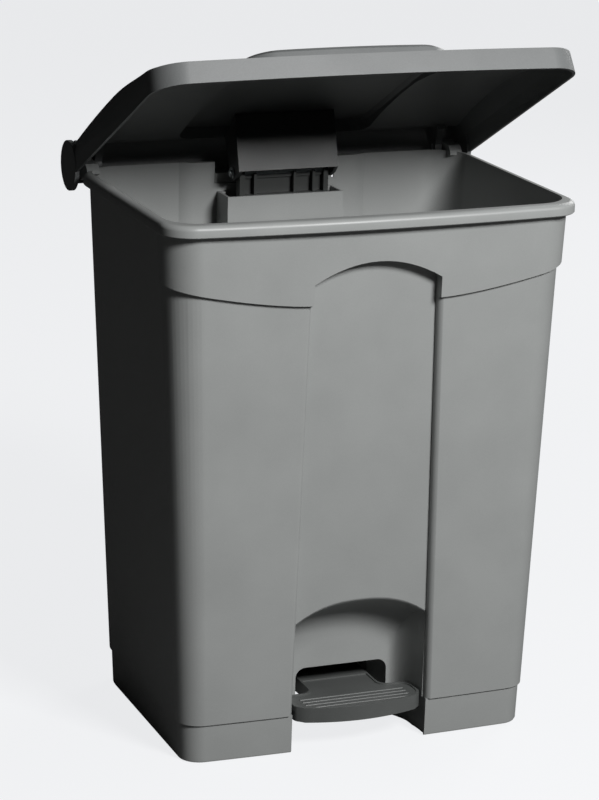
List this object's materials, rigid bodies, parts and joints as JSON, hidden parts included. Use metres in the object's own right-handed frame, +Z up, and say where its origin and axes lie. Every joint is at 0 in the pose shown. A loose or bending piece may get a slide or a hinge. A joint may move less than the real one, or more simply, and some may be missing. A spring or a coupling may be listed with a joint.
{
  "type": "pedal bin",
  "caption": "Tall rectangular step-on waste pail with a hinged lid, foot pedal in a front toe niche and a push rod in a rear channel.",
  "frame": {"origin": "centre of the footprint's bounding box on the floor", "axes": "+Z up, -Y towards the pedal and front, +X to the right as seen from the front"},
  "size_m": [0.503, 0.39, 0.8032],
  "materials": {
    "body_plastic": "fine moulded satin",
    "lid_plastic": "fine moulded grain",
    "dark_plastic": "moulded matt",
    "pedal_plastic": "moulded matt",
    "zinc_steel": "zinc plated",
    "black_rubber": "matt",
    "nylon": "natural"
  },
  "bodies": {
    "bin": {"bucket": "body_plastic", "rear_cover": "body_plastic", "rear_cover_screws": "zinc_steel", "base_plinth": "body_plastic", "plinth_screws": "zinc_steel", "rubber_feet": "black_rubber", "hinge_pin_left": "zinc_steel", "hinge_pin_right": "zinc_steel", "pedal_axle": "zinc_steel", "axle_bush_left": "nylon", "axle_bush_right": "nylon", "axle_clips": "zinc_steel", "pedal_rest_buffer": "black_rubber"},
    "lid_group": {"lid": "lid_plastic", "lid_buffers": "black_rubber", "lid_lever_box": "dark_plastic", "lever_box_screws": "zinc_steel", "rod_top_pin": "zinc_steel", "rod_pin_clips": "zinc_steel"},
    "rod_group": {"push_rod": "dark_plastic", "rod_foot_shoe": "black_rubber"},
    "pedal_group": {"pedal": "pedal_plastic"}
  },
  "joints": [
    {"name": "lid_hinge", "type": "hinge", "parent": "bin", "child": "lid_group", "pos_m": [0, 0.1655, 0.6315], "axis": [-1, 0, 0], "range_deg": [-26.8, 43.5]},
    {"name": "rod_pivot", "type": "hinge", "parent": "lid_group", "child": "rod_group", "pos_m": [0, 0.1225, 0.621], "axis": [-1, 0, 0], "range_deg": [-43.6, 26.9]},
    {"name": "pedal_pivot", "type": "hinge", "parent": "bin", "child": "pedal_group", "pos_m": [0, -0.03, 0.042], "axis": [1, 0, 0], "range_deg": [-7.3, 11.8]}
  ],
  "couplings": [
    {"joint": "rod_pivot", "follows": "lid_hinge", "ratio": -1},
    {"joint": "pedal_pivot", "follows": "lid_hinge", "ratio": 0.27}
  ]
}
